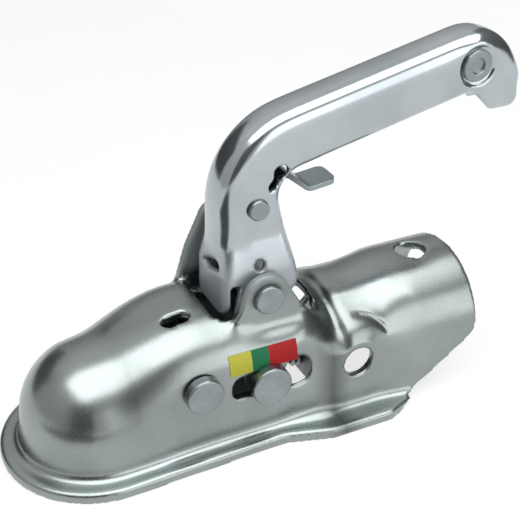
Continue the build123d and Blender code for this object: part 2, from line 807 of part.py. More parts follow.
with BuildPart() as lever:
    with BuildSketch(side_plane(lever_foot_half)) as lever_side:
        with BuildLine():
            Polyline(
                (lug_front, lug_low_z),
                (lug_front, stem_foot_z),
                (stem_front, stem_foot_z),
                (stem_front, grip_start_z),
                grip_end,
            )
            ThreePointArc(grip_end, (hook_shoulder_x, hook_shoulder_z), (hook_back_x, hook_back_z))
            Polyline(
                (hook_back_x, hook_back_z),
                (hook_tip_x, hook_tip_z),
                (hook_tip_x - hook_width, hook_tip_z),
                (grip_end_x, grip_z(grip_end_x, grip_depth)),
                (inner_corner_x, inner_corner_z),
                (stem_rear_x, stem_rear_z),
                (drive_x, lug_low_z),
                (lug_front, lug_low_z),
            )
        make_face()
        for corner, radius in (
            ((stem_front, grip_start_z), grip_corner_round),
            ((hook_tip_x, hook_tip_z), hook_round),
            ((hook_tip_x - hook_width, hook_tip_z), hook_round),
            ((grip_end_x, grip_z(grip_end_x, grip_depth)), hook_round),
            ((inner_corner_x, inner_corner_z), inner_corner_round),
            ((stem_rear_x, stem_rear_z), stem_foot_round),
            ((lug_front, lug_low_z), drive_lug_round - running_fit),
        ):
            fillet(lever_side.vertices().sort_by_distance(corner)[0], radius)
    extrude(amount=2 * lever_foot_half)
    extrude(lever_room, amount=sleeve_end + grip_end_x, mode=Mode.INTERSECT)
    web_edges = lever.edges().filter_by(
        lambda edge: abs(edge.center().Y) > lever_half - running_fit
        and (
            edge.center().X < web_back
            or edge.center().X > hook_tip_x - lever_bend
            or edge.center().Z > grip_z(edge.center().X, grip_depth / 2)
        )
        and edge.center().Z > stem_foot_z + lever_sheet
    )
    fillet(web_edges, lever_bend)
    add(channel.part, mode=Mode.SUBTRACT)
    with BuildSketch(side_plane(2 * lever_half)):
        with BuildLine():
            Polyline(
                (web_back, channel_low_z),
                (web_back, stem_flange_z),
                (stem_flange_front, stem_flange_z),
                (lug_front, drive_z),
                (lug_front, channel_low_z),
                close=True,
            )
        make_face()
        with Locations((pivot_x, pivot_z)):
            Circle(bush_diameter / 2 + running_fit)
        with Locations((drive_x, drive_z)):
            Circle(drive_pin_diameter / 2 + running_fit)
        with Locations((catch_x, catch_z)):
            Circle(catch_rivet_diameter / 2 + running_fit)
        with Locations((sight_hole_x, sight_hole_z)):
            Circle(sight_hole_diameter / 2)
        with Locations((grip_rivet_x, grip_rivet_z)):
            Circle(grip_rivet_diameter / 2 + running_fit)
        with Locations((keyhole_x, keyhole_z)):
            Circle(keyhole_diameter / 2)
        with BuildLine() as keyhole_tail:
            Line((keyhole_x, keyhole_z), (keyhole_tail_x, keyhole_tail_z))
        trace(keyhole_tail.line, keyhole_tail_width)
        with Locations((keyhole_tail_x, keyhole_tail_z)):
            Circle(keyhole_tail_width / 2)
    extrude(amount=4 * lever_half, mode=Mode.SUBTRACT)
    with BuildSketch(Plane.YZ.offset(stem_front - lever_sheet)):
        with Locations((0, web_slot_z)):
            SlotOverall(web_slot_length, web_slot_width, rotation=web_slot_tilt)
        with Locations((0, stem_foot_z)):
            Rectangle(2 * lever_foot_half, tongue_round, align=(Align.CENTER, Align.MAX))
        for side in (1, -1):
            with Locations((side * (lever_foot_half - tongue_round / 2), stem_foot_z + tongue_round / 2)):
                Rectangle(tongue_round, tongue_round)
            with Locations((side * (lever_foot_half - tongue_round), stem_foot_z + tongue_round)):
                Circle(tongue_round, mode=Mode.SUBTRACT)
    extrude(amount=2 * lever_sheet, mode=Mode.SUBTRACT)
    for start in (lever_half, -lever_half + grip_dimple_depth):
        with BuildSketch(side_plane(start, grip_rivet_x, grip_rivet_z)):
            Circle(grip_dimple_diameter / 2)
        extrude(amount=grip_dimple_depth, mode=Mode.SUBTRACT)
lever.part.label = "lever"

# Pivot bolt through the ears, with its bush, spacers, washer and nut
pivot_nut_start = riser_half + pivot_washer_thickness + 2 * weld_gap
with BuildPart() as pivot_bolt:
    with BuildSketch(side_plane(pivot_nut_start + pivot_nut_height + pin_head_round, pivot_x, pivot_z)):
        Circle(pivot_diameter / 2)
    extrude(amount=pivot_nut_start + pivot_nut_height + pin_head_round + riser_half + weld_gap)
    with BuildSketch(side_plane(-riser_half - weld_gap, pivot_x, pivot_z)):
        Circle(pivot_head_diameter / 2)
    extrude(amount=pivot_head_height)
    fillet(pivot_bolt.edges().group_by(Axis.Y)[0], pin_head_round)
pivot_bolt.part.label = "pivot_bolt"

with BuildPart() as pivot_washer:
    with BuildSketch(side_plane(riser_half + weld_gap + pivot_washer_thickness, pivot_x, pivot_z)):
        Circle(pivot_washer_diameter / 2)
        Circle(pivot_diameter / 2 + running_fit, mode=Mode.SUBTRACT)
    extrude(amount=pivot_washer_thickness)
pivot_washer.part.label = "pivot_washer"

with BuildPart() as pivot_nut:
    with BuildSketch(side_plane(pivot_nut_start + pivot_nut_height, pivot_x, pivot_z)):
        RegularPolygon(pivot_nut_across / 2, 6, major_radius=False)
        Circle(pivot_diameter / 2 + running_fit, mode=Mode.SUBTRACT)
    extrude(amount=pivot_nut_height)
    chamfer(pivot_nut.edges().filter_by(GeomType.LINE).group_by(Axis.Y)[-1], nut_bevel)
pivot_nut.part.label = "pivot_nut"

with BuildPart() as pivot_bush:
    with BuildSketch(side_plane(lever_foot_half, pivot_x, pivot_z)):
        Circle(bush_diameter / 2)
        Circle(pivot_diameter / 2 + running_fit, mode=Mode.SUBTRACT)
    extrude(amount=2 * lever_foot_half)
pivot_bush.part.label = "pivot_bush"

with BuildPart() as pivot_spacers:
    for start in (mouth_half - face_gap, -lever_foot_half - face_gap):
        with BuildSketch(side_plane(start, pivot_x, pivot_z)):
            Circle(pivot_diameter / 2 + running_fit + pivot_spacer_wall)
            Circle(pivot_diameter / 2 + running_fit, mode=Mode.SUBTRACT)
        extrude(amount=mouth_half - lever_foot_half - 2 * face_gap)
pivot_spacers.part.label = "pivot_spacers"

# Drive pin with its roller in the foot of the lever
with BuildPart() as drive_pin:
    with BuildSketch(side_plane(lever_foot_half + weld_gap, drive_x, drive_z)):
        Circle(drive_pin_diameter / 2)
    extrude(amount=2 * (lever_foot_half + weld_gap))
    for start in (lever_foot_half + weld_gap + drive_head_height, -lever_foot_half - weld_gap):
        with BuildSketch(side_plane(start, drive_x, drive_z)):
            Circle(drive_head_diameter / 2)
        extrude(amount=drive_head_height)
drive_pin.part.label = "drive_pin"

with BuildPart() as drive_roller:
    with BuildSketch(side_plane(foot_inner - face_gap, drive_x, drive_z)):
        Circle(drive_roller_diameter / 2)
        Circle(drive_pin_diameter / 2 + running_fit, mode=Mode.SUBTRACT)
    extrude(amount=2 * (foot_inner - face_gap))
drive_roller.part.label = "drive_roller"

# Safety catch: two cheeks on the rivet, with the thumb tab bent between them
tab_reach = math.hypot(tab_crest_x - catch_x, tab_crest_z - catch_z)
tab_root_x = mix(catch_x, tab_crest_x, tab_root_distance / tab_reach)
tab_root_z = mix(catch_z, tab_crest_z, tab_root_distance / tab_reach)


def catch_arm(end_x, end_z, end_round):
    """Outline of one arm of the catch's cheek, from the rivet to a rounded end."""
    with BuildSketch() as arm:
        with Locations((catch_x, catch_z)):
            Circle(catch_hub_round)
        with Locations((end_x, end_z)):
            Circle(end_round)
        make_hull()
    return arm.sketch


nose_arm = catch_arm(catch_nose_x, catch_nose_z, catch_nose_round)
tab_arm = catch_arm(tab_root_x, tab_root_z, tab_root_round)

with BuildPart() as safety_catch:
    with BuildSketch(side_plane(catch_half)):
        add(nose_arm)
        add(tab_arm)
        with Locations((catch_x, catch_z)):
            Circle(catch_rivet_diameter / 2 + running_fit, mode=Mode.SUBTRACT)
    extrude(amount=catch_sheet)
    mirror(about=Plane.XZ)
    with BuildSketch(side_plane(catch_half)):
        with BuildLine() as tab_path:
            FilletPolyline(
                (tab_root_x, tab_root_z),
                (tab_crest_x, tab_crest_z),
                (tab_dip_x, tab_dip_z),
                (tab_tip_x, tab_tip_z),
                radius=tab_bend,
            )
        trace(tab_path.line, catch_sheet)
    extrude(amount=2 * catch_half)
    tip_edges = safety_catch.edges().filter_by(
        lambda edge: edge.center().X > tab_tip_x - catch_sheet and edge.length < catch_sheet + running_fit
    )
    fillet(tip_edges, tab_corner)
safety_catch.part.label = "safety_catch"

with BuildPart() as catch_rivet:
    with BuildSketch(side_plane(lever_half + weld_gap, catch_x, catch_z)):
        Circle(catch_rivet_diameter / 2)
    extrude(amount=2 * (lever_half + weld_gap))
    for start in (lever_half + weld_gap + catch_rivet_height, -lever_half - weld_gap):
        with BuildSketch(side_plane(start, catch_x, catch_z)):
            Circle(catch_rivet_head / 2)
        extrude(amount=catch_rivet_height)
    rivet_rims = catch_rivet.edges().group_by(Axis.Y)[0] + catch_rivet.edges().group_by(Axis.Y)[-1]
    fillet(rivet_rims, pin_head_round)
catch_rivet.part.label = "catch_rivet"

# Coil spring of the catch round its rivet, with two short legs
coil_pitch = catch_wire + face_gap
coil_length = coil_pitch * catch_coil_turns
with BuildPart() as catch_spring:
    with BuildLine() as coil_path:
        Helix(
            pitch=coil_pitch,
            height=coil_length,
            radius=catch_coil_radius,
            center=(catch_x, coil_length / 2, catch_z),
            direction=(0, -1, 0),
        )
    with BuildSketch(Plane(coil_path.line @ 0, z_dir=coil_path.line % 0)) as coil_start:
        RegularPolygon(catch_wire / 2, wire_sides)
    sweep(path=coil_path.line, is_frenet=True)
    extrude(coil_start.sketch, amount=-catch_leg)
    with BuildSketch(Plane(coil_path.line @ 1, z_dir=coil_path.line % 1)) as coil_end:
        RegularPolygon(catch_wire / 2, wire_sides)
    extrude(coil_end.sketch, amount=catch_leg)
catch_spring.part.label = "catch_spring"

with BuildPart() as grip_rivet:
    dimple_seat = lever_half - grip_dimple_depth + weld_gap
    with BuildSketch(side_plane(dimple_seat, grip_rivet_x, grip_rivet_z)):
        Circle(grip_rivet_diameter / 2)
    extrude(amount=2 * dimple_seat)
    for start in (dimple_seat + grip_dimple_depth, -dimple_seat):
        with BuildSketch(side_plane(start, grip_rivet_x, grip_rivet_z)):
            Circle(grip_rivet_ring / 2)
        extrude(amount=grip_dimple_depth)
    for start in (dimple_seat + grip_dimple_depth, -dimple_seat - grip_dimple_depth + grip_cup_depth):
        with BuildSketch(side_plane(start, grip_rivet_x, grip_rivet_z)):
            Circle(grip_rivet_cup / 2)
        extrude(amount=grip_cup_depth, mode=Mode.SUBTRACT)
    rivet_ends = grip_rivet.edges().group_by(Axis.Y)[0] + grip_rivet.edges().group_by(Axis.Y)[-1]
    fillet(rivet_ends, cup_round)
grip_rivet.part.label = "grip_rivet"

# Gauge label on the shoulder of the near wall
shoulder_y = throat_corner - throat_half
shoulder_z = throat_top - throat_corner
label_radius = throat_corner + label_gap
label_low = math.asin((label_bottom_z - shoulder_z) / label_radius)
label_high = math.asin((label_top_z - shoulder_z) / label_radius)


def label_place(radius, turn):
    """Place across and up on the near shoulder."""
    return shoulder_y - radius * math.cos(turn), shoulder_z + radius * math.sin(turn)


label_back = label_radius + label_thickness
label_inner = [label_place(label_radius, turn) for turn in (label_low, label_high)]
label_outer = [label_place(label_back, turn) for turn in (label_low, label_high)]
with BuildPart() as indicator_label:
    with BuildSketch(Plane.YZ.offset(label_front)):
        with BuildLine():
            RadiusArc(label_inner[0], label_inner[1], label_radius)
            Line(label_inner[1], label_outer[1])
            RadiusArc(label_outer[0], label_outer[1], label_back)
            Line(label_outer[0], label_inner[0])
        make_face()
    extrude(amount=label_rear - label_front)
indicator_label.part.label = "indicator_label"

os.makedirs("parts", exist_ok=True)
export_step(coupling_body.part, "parts/coupling_body.step")
export_step(stop_plate.part, "parts/stop_plate.step")
export_step(jaw_pin.part, "parts/jaw_pin.step")
export_step(jaw_spacers.part, "parts/jaw_spacers.step")
export_step(locking_jaw.part, "parts/locking_jaw.step")
export_step(lock_slide.part, "parts/lock_slide.step")
export_step(slide_spacers.part, "parts/slide_spacers.step")
export_step(indicator_bolt.part, "parts/indicator_bolt.step")
export_step(indicator_washer.part, "parts/indicator_washer.step")
export_step(indicator_nut.part, "parts/indicator_nut.step")
export_step(lock_spring.part, "parts/lock_spring.step")
export_step(lever.part, "parts/lever.step")
export_step(pivot_bolt.part, "parts/pivot_bolt.step")
export_step(pivot_washer.part, "parts/pivot_washer.step")
export_step(pivot_nut.part, "parts/pivot_nut.step")
export_step(pivot_bush.part, "parts/pivot_bush.step")
export_step(pivot_spacers.part, "parts/pivot_spacers.step")
export_step(drive_pin.part, "parts/drive_pin.step")
export_step(drive_roller.part, "parts/drive_roller.step")
export_step(safety_catch.part, "parts/safety_catch.step")
export_step(catch_rivet.part, "parts/catch_rivet.step")
export_step(catch_spring.part, "parts/catch_spring.step")
export_step(grip_rivet.part, "parts/grip_rivet.step")
export_step(indicator_label.part, "parts/indicator_label.step")
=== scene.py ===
"""Studio scene of a zinc-plated trailer coupling head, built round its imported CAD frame."""

import json
import logging
import math
from dataclasses import dataclass
from enum import Enum
from typing import Optional, Union

import bmesh
import bpy
import numpy as np
from mathutils import Matrix, Vector
from mathutils.kdtree import KDTree


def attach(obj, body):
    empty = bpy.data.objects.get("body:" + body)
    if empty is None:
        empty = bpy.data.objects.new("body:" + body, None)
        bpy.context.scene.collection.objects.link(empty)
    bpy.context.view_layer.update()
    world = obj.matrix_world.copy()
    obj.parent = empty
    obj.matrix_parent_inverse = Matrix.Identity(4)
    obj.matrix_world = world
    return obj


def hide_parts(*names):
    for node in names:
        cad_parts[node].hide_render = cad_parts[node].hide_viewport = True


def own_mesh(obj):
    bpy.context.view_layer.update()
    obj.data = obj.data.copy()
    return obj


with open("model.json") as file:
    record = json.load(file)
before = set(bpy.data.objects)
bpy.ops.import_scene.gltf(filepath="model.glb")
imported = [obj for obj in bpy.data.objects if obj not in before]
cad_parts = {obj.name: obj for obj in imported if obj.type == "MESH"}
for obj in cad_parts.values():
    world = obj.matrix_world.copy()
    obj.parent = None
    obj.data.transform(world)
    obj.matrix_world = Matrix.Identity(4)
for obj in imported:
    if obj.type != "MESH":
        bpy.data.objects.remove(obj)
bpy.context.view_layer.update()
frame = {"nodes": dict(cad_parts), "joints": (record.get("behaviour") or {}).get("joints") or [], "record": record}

LOG = logging.getLogger("coupling_head")
MM = 0.001

Number = Union[int, float]
Colour = tuple[float, float, float]
Point = tuple[float, float, float]
Pair = tuple[float, float]


def joint_place(name: str) -> Point:
    """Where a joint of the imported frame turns."""
    return next(tuple(row["pos_m"]) for row in frame["joints"] if row["name"] == name)


def mount_place(name: str) -> Point:
    """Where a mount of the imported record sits."""
    return next(tuple(row["pos_m"]) for row in frame["record"]["mounts"] if row["name"] == name)


def node_middle(name: str) -> Point:
    """The middle of a CAD node's box."""
    corners = np.array(frame["nodes"][name].bound_box)
    return tuple((corners.min(axis=0) + corners.max(axis=0)) / 2)


class Body(Enum):
    """CAD bodies that pieces ride on."""

    HEAD = "head"
    LEVER = "lever"
    SLIDE = "slide"
    JAW = "jaw"
    CATCH = "catch"


class Slot(Enum):
    """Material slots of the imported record."""

    BODY = "zinc_body"
    LEVER = "zinc_lever"
    CATCH = "zinc_catch"
    FASTENER = "zinc_fastener"
    INNER = "zinc_inner"
    JAW = "jaw_steel"
    SPRING = "spring_steel"
    LABEL = "gauge_label"


class Wire:
    """A node socket that can be used in Python expressions."""

    def __init__(self, graph: "Graph", socket: bpy.types.NodeSocket) -> None:
        """Keeps the socket and the graph that its expressions add nodes to."""
        self.graph = graph
        self.socket = socket

    def _math(self, operation: str, first: "Value", second: "Value") -> "Wire":
        """Adds one Math node.

        Args:
            operation: the Math node's operation.
            first: its first value.
            second: its second value.

        Returns:
            The node's result.
        """
        return self.graph.node("ShaderNodeMath", {"operation": operation}, {0: first, 1: second})

    def __add__(self, other: "Value") -> "Wire":
        """self + other."""
        return self._math("ADD", self, other)

    def __radd__(self, other: "Value") -> "Wire":
        """other + self."""
        return self._math("ADD", other, self)

    def __sub__(self, other: "Value") -> "Wire":
        """self - other."""
        return self._math("SUBTRACT", self, other)

    def __rsub__(self, other: "Value") -> "Wire":
        """other - self."""
        return self._math("SUBTRACT", other, self)

    def __mul__(self, other: "Value") -> "Wire":
        """self * other."""
        return self._math("MULTIPLY", self, other)

    def __rmul__(self, other: "Value") -> "Wire":
        """other * self."""
        return self._math("MULTIPLY", other, self)

    def __gt__(self, other: "Value") -> "Wire":
        """1 where self is greater than other."""
        return self._math("GREATER_THAN", self, other)

    def __lt__(self, other: "Value") -> "Wire":
        """1 where self is less than other."""
        return self._math("LESS_THAN", self, other)


Value = Union[Wire, Number]


class Graph:
    """The node tree of one material or world."""

    def __init__(self, tree: bpy.types.NodeTree) -> None:
        """Starts from an empty tree."""
        self.tree = tree
        tree.nodes.clear()

    def node(self, kind: str, settings: dict, inputs: dict, output: Union[int, str] = 0) -> Wire:
        """Adds a node.

        Args:
            kind: the node's type.
            settings: its settings, set before its sockets; "stops" fills a colour ramp.
            inputs: values or wires for its input sockets, by name or number.
            output: the output socket to return.

        Returns:
            The chosen output.
        """
        made = self.tree.nodes.new(kind)
        for name, value in settings.items():
            if name == "stops":
                self._fill_ramp(made.color_ramp, value)
            else:
                setattr(made, name, value)
        for key, value in inputs.items():
            if isinstance(value, Wire):
                self.tree.links.new(value.socket, made.inputs[key])
            else:
                made.inputs[key].default_value = value
        return Wire(self, made.outputs[output]) if len(made.outputs) else Wire(self, made.inputs[0])

    @staticmethod
    def _fill_ramp(ramp: bpy.types.ColorRamp, stops: list[tuple[float, Colour]]) -> None:
        """Sets a colour ramp's stops.

        Args:
            ramp: the ramp.
            stops: places and colours, in order.
        """
        while len(ramp.elements) < len(stops):
            ramp.elements.new(1.0)
        for element, (place, colour) in zip(ramp.elements, stops):
            element.position = place
            element.color = (*colour, 1.0)

    def noise(self, where: Wire, scale: float, detail: float, stretch: Point = (1.0, 1.0, 1.0)) -> Wire:
        """Noise from 0 to 1 over the surface.

        Args:
            where: coordinates in metres.
            scale: features per metre.
            detail: the number of finer layers.
            stretch: factors on the coordinates.

        Returns:
            The noise value.
        """
        spot = self.node("ShaderNodeVectorMath", {"operation": "MULTIPLY"}, {0: where, 1: stretch})
        return self.node("ShaderNodeTexNoise", {}, {"Vector": spot, "Scale": scale, "Detail": detail})

    def mix(self, share: Value, first: Union[Wire, Colour], second: Union[Wire, Colour]) -> Wire:
        """Mixes two colours.

        Args:
            share: how much of the second.
            first: the colour at 0.
            second: the colour at 1.

        Returns:
            The mixed colour.
        """
        fill = [c if isinstance(c, Wire) else (*c, 1.0) for c in (first, second)]
        return self.node("ShaderNodeMix", {"data_type": "RGBA"}, {0: share, 6: fill[0], 7: fill[1]}, 2)

    def remap(self, value: Wire, low: float, high: float, to_low: float, to_high: float) -> Wire:
        """Moves a value from one range to another and keeps it inside.

        Args:
            value: the value.
            low: the start of its range.
            high: the end of its range.
            to_low: the result at low.
            to_high: the result at high.

        Returns:
            The new value.
        """
        places = {"Value": value, "From Min": low, "From Max": high, "To Min": to_low, "To Max": to_high}
        return self.node("ShaderNodeMapRange", {"clamp": True}, places)


def new_material(name: str) -> tuple[bpy.types.Material, Graph]:
    """Makes an empty node material.

    Args:
        name: its name.

    Returns:
        The material and its graph.
    """
    material = bpy.data.materials.new(name)
    material.use_nodes = True
    return material, Graph(material.node_tree)


@dataclass(frozen=True)
class ZincFinish:
    """Zinc plate on steel: a metal with cloudy patches, fine grain, faint rub marks and softened edges, and where
    given a band of painted shade.
    """

    name: str
    tint: Colour
    cloud_tint: Colour
    rough_low: float
    rough_high: float
    cloud_scale: float = 45.0
    cloud_detail: float = 4.0
    cloud_span: Pair = (0.35, 0.68)
    cloud_weight: float = 0.7
    grain_scale: float = 2600.0
    grain_detail: float = 2.0
    grain_depth: float = 0.02 * MM
    grain_strength: float = 0.25
    rough_span: Pair = (0.3, 0.7)
    rub_stretch: Point = (0.05, 1.0, 1.0)
    rub_span: Pair = (0.62, 0.75)
    rub_rough: float = 0.08
    edge_radius: float = 0.6 * MM
    edge_samples: int = 6
    # painted shade: a band (middle X, half width, top Z) where the tint is multiplied by the factor below,
    # standing in for shade
    painted_shade_band: Optional[Point] = None
    painted_shade_factor: float = 0.42
    dull: Optional[Pair] = None
    dull_rough: float = 0.3
    dull_metal: float = 0.5

    def build(self) -> bpy.types.Material:
        """Makes the finish's nodes.

        Returns:
            The material.
        """
        material, graph = new_material(self.name)
        where = graph.node("ShaderNodeTexCoord", {}, {}, "Object")
        cloud = graph.noise(where, self.cloud_scale, self.cloud_detail)
        grain = graph.noise(where, self.grain_scale, self.grain_detail)
        rub = graph.noise(where, self.grain_scale, self.grain_detail, self.rub_stretch)
        patch = graph.remap(cloud, *self.cloud_span, 0.0, 1.0)
        speck = graph.remap(rub, *self.rub_span, 0.0, 1.0)
        colour = graph.mix(patch, self.tint, self.cloud_tint)
        # painted shade: the tint is darkened inside the band, standing in for shade
        if self.painted_shade_band is not None:
            shaded = tuple(part * self.painted_shade_factor for part in self.tint)
            colour = graph.mix(self._painted_shade_share(graph, where), colour, shaded)
        texture = cloud * self.cloud_weight + grain * (1 - self.cloud_weight)
        rough = graph.remap(texture, *self.rough_span, self.rough_low, self.rough_high)
        rough = rough + speck * self.rub_rough
        metal = 1.0
        if self.dull is not None:
            share = self._dull_share(graph, where)
            rough = rough + share * self.dull_rough
            metal = 1.0 - share * self.dull_metal
        soft = graph.node("ShaderNodeBevel", {"samples": self.edge_samples}, {"Radius": self.edge_radius})
        bump = graph.node(
            "ShaderNodeBump",
            {},
            {"Strength": self.grain_strength, "Distance": self.grain_depth, "Height": grain, "Normal": soft},
        )
        shader = graph.node(
            "ShaderNodeBsdfPrincipled",
            {},
            {"Base Color": colour, "Metallic": metal, "Roughness": rough, "Normal": bump},
        )
        graph.node("ShaderNodeOutputMaterial", {}, {"Surface": shader})
        return material

    def _dull_share(self, graph: Graph, where: Wire) -> Wire:
        """How dull the plate is, from the height where it is bright to the height where it is all dull."""
        return graph.remap(graph.node("ShaderNodeSeparateXYZ", {}, {0: where}, 2), *self.dull, 0.0, 1.0)

    def _painted_shade_share(self, graph: Graph, where: Wire) -> Wire:
        """How much painted shade darkens the tint, in a band given by its middle X, half width and top Z.

        Args:
            graph: the material's graph.
            where: coordinates in metres.

        Returns:
            The share, from 0 to 1.
        """
        middle, half, top = self.painted_shade_band
        along, up = (graph.node("ShaderNodeSeparateXYZ", {}, {0: where}, axis) for axis in (0, 2))
        away = graph.node("ShaderNodeMath", {"operation": "ABSOLUTE"}, {0: along - middle})
        return graph.remap(away, 0.0, half, 1.0, 0.0) * graph.remap(up, top - half, top, 1.0, 0.0)


@dataclass(frozen=True)
class LabelFinish:
    """Printed film in three plain fields along X: yellow, green and red."""

    name: str
    green_start: float
    red_start: float
    yellow: Colour = (0.56, 0.54, 0.06)
    green: Colour = (0.012, 0.17, 0.07)
    red: Colour = (0.42, 0.012, 0.012)
    worn: Colour = (0.5, 0.5, 0.46)
    worn_span: Pair = (0.6, 0.85)
    worn_most: float = 0.1
    fibre_scale: float = 900.0
    fibre_detail: float = 2.0
    fibre_span: Pair = (0.3, 0.7)
    rough: Pair = (0.35, 0.5)
    specular: float = 0.2

    def build(self) -> bpy.types.Material:
        """Makes the finish's nodes.

        Returns:
            The material.
        """
        material, graph = new_material(self.name)
        where = graph.node("ShaderNodeTexCoord", {}, {}, "Object")
        along = graph.node("ShaderNodeSeparateXYZ", {}, {0: where}, 0)
        fibre = graph.noise(where, self.fibre_scale, self.fibre_detail)
        front = graph.mix(along > self.green_start, self.yellow, self.green)
        field = graph.mix(along > self.red_start, front, self.red)
        wear = graph.remap(fibre, *self.worn_span, 0.0, self.worn_most)
        shader = graph.node(
            "ShaderNodeBsdfPrincipled",
            {},
            {
                "Base Color": graph.mix(wear, field, self.worn),
                "Roughness": graph.remap(fibre, *self.fibre_span, *self.rough),
                "Specular IOR Level": self.specular,
            },
        )
        graph.node("ShaderNodeOutputMaterial", {}, {"Surface": shader})
        return material


@dataclass(frozen=True)
class Finishes:
    """Every finish of the coupling."""

    body: ZincFinish = ZincFinish(
        "satin_zinc_body",
        (0.30, 0.335, 0.33),
        (0.255, 0.285, 0.275),
        0.22,
        0.32,
        # painted shade at the drawn neck behind the ears, where the neck lies in shade
        painted_shade_band=(91.0 * MM, 8.5 * MM, 42.0 * MM),
        dull=(40.0 * MM, 46.0 * MM),
    )
    lever: ZincFinish = ZincFinish(
        "bright_zinc_lever", (0.45, 0.49, 0.51), (0.39, 0.43, 0.45), 0.12, 0.2, dull=(63.0 * MM, 51.0 * MM)
    )
    catch: ZincFinish = ZincFinish(
        "bright_zinc_catch",
        (0.31, 0.36, 0.375),
        (0.26, 0.30, 0.315),
        0.2,
        0.3,
        # painted shade, nearly black, on the catch's arm inside the lever, where it lies in shade
        painted_shade_band=(75.0 * MM, 16.0 * MM, 112.0 * MM),
        painted_shade_factor=0.06,
    )
    fastener: ZincFinish = ZincFinish(
        "zinc_fastener", (0.29, 0.325, 0.335), (0.23, 0.26, 0.265), 0.24, 0.36, cloud_scale=120.0
    )
    inner: ZincFinish = ZincFinish("dull_zinc_inner", (0.22, 0.235, 0.235), (0.17, 0.18, 0.18), 0.38, 0.55)
    jaw: ZincFinish = ZincFinish("oiled_jaw_steel", (0.26, 0.27, 0.28), (0.18, 0.19, 0.20), 0.35, 0.5)
    spring: ZincFinish = ZincFinish(
        "spring_wire", (0.34, 0.35, 0.36), (0.26, 0.27, 0.28), 0.3, 0.45, cloud_scale=300.0
    )
    label: LabelFinish = LabelFinish("gauge_film", 54.8 * MM, 62.2 * MM)


NODE_SLOTS: dict[str, Slot] = {row["node"]: Slot(row["material_slot"]) for row in frame["record"]["subparts"]}


@dataclass
class CadDress:
    """Puts the finishes on the CAD nodes."""

    finishes: Finishes

    def build(self) -> dict[Slot, bpy.types.Material]:
        """Makes each slot's material and assigns it to its nodes.

        Returns:
            The material of each slot.
        """
        by_slot = {
            Slot.BODY: self.finishes.body.build(),
            Slot.LEVER: self.finishes.lever.build(),
            Slot.CATCH: self.finishes.catch.build(),
            Slot.FASTENER: self.finishes.fastener.build(),
            Slot.INNER: self.finishes.inner.build(),
            Slot.JAW: self.finishes.jaw.build(),
            Slot.SPRING: self.finishes.spring.build(),
            Slot.LABEL: self.finishes.label.build(),
        }
        for name, node in frame["nodes"].items():
            node.data.materials.clear()
            node.data.materials.append(by_slot[NODE_SLOTS[name]])
            LOG.info("dressed %s", name)
        return by_slot


@dataclass
class PressedSheet:
    """A pressed sheet on an even grid, with its folds drawn smooth as the press leaves them."""

    node: str
    body: Body
    slot: Slot
    voxel: float
    passes: int
    step: float = 0.5
    fade: float = 3.0 * MM

    def build(self, material: bpy.types.Material) -> bpy.types.Object:
        """Makes the sheet from the CAD node's own shape.

        Args:
            material: the sheet's finish.

        Returns:
            The sheet, in place of the CAD node.
        """
        sheet = bpy.data.objects.new("pressed_" + self.node, frame["nodes"][self.node].data.copy())
        bpy.context.scene.collection.objects.link(sheet)
        grid = sheet.modifiers.new("even_grid", "REMESH")
        grid.mode = "VOXEL"
        grid.voxel_size = self.voxel
        graph = bpy.context.evaluated_depsgraph_get()
        dense = bpy.data.meshes.new_from_object(sheet.evaluated_get(graph))
        sheet.modifiers.clear()
        sheet.data = dense
        self._draw(dense)
        dense.materials.clear()
        dense.materials.append(material)
        dense.shade_smooth()
        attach(sheet, self.body.value)
        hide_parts(self.node)
        LOG.info("made %s with %d faces", sheet.name, len(dense.polygons))
        return sheet

    def _draw(self, mesh: bpy.types.Mesh) -> None:
        """Smooths the folds and presses the details.

        Args:
            mesh: the evenly divided sheet.
        """
        count = len(mesh.vertices)
        places = np.empty(count * 3)
        mesh.vertices.foreach_get("co", places)
        places = places.reshape(-1, 3)
        ends = np.empty(len(mesh.edges) * 2, dtype=np.int64)
        mesh.edges.foreach_get("vertices", ends)
        first, last = ends[0::2], ends[1::2]
        links = np.maximum(np.bincount(ends, minlength=count), 1)[:, None]
        pull = self._pull(places)[:, None] * self.step
        for _ in range(self.passes):
            total = np.empty_like(places)
            for axis in range(3):
                values = places[:, axis]
                total[:, axis] = np.bincount(first, values[last], count)
                total[:, axis] += np.bincount(last, values[first], count)
            places += pull * (total / links - places)
        self._press(places)
        corners = np.array(frame["nodes"][self.node].bound_box)
        places = np.clip(places, corners.min(axis=0), corners.max(axis=0))
        mesh.vertices.foreach_set("co", places.reshape(-1))
        mesh.update()

    def _pull(self, places: np.ndarray) -> np.ndarray:
        """Strength of the smoothing at each point, from 0 to 1: full, unless a sheet says otherwise."""
        return np.ones(len(places))

    def _press(self, places: np.ndarray) -> None:
        """Presses a sheet's own details, where it has any, by moving the points."""

    @staticmethod
    def _ramp(value: np.ndarray, start: float, length: float) -> np.ndarray:
        """0 up to start, rising to 1 over a length."""
        return np.clip((value - start) / length, 0.0, 1.0)

    @staticmethod
    def _band(value: np.ndarray, low: float, high: float, fade: float) -> np.ndarray:
        """1 between low and high, and fading to 0 at both.

        Args:
            value: the values.
            low: the start.
            high: the end.
            fade: the length of each fade.

        Returns:
            The shares.
        """
        return np.clip(np.minimum(value - low, high - value) / fade, 0.0, 1.0)


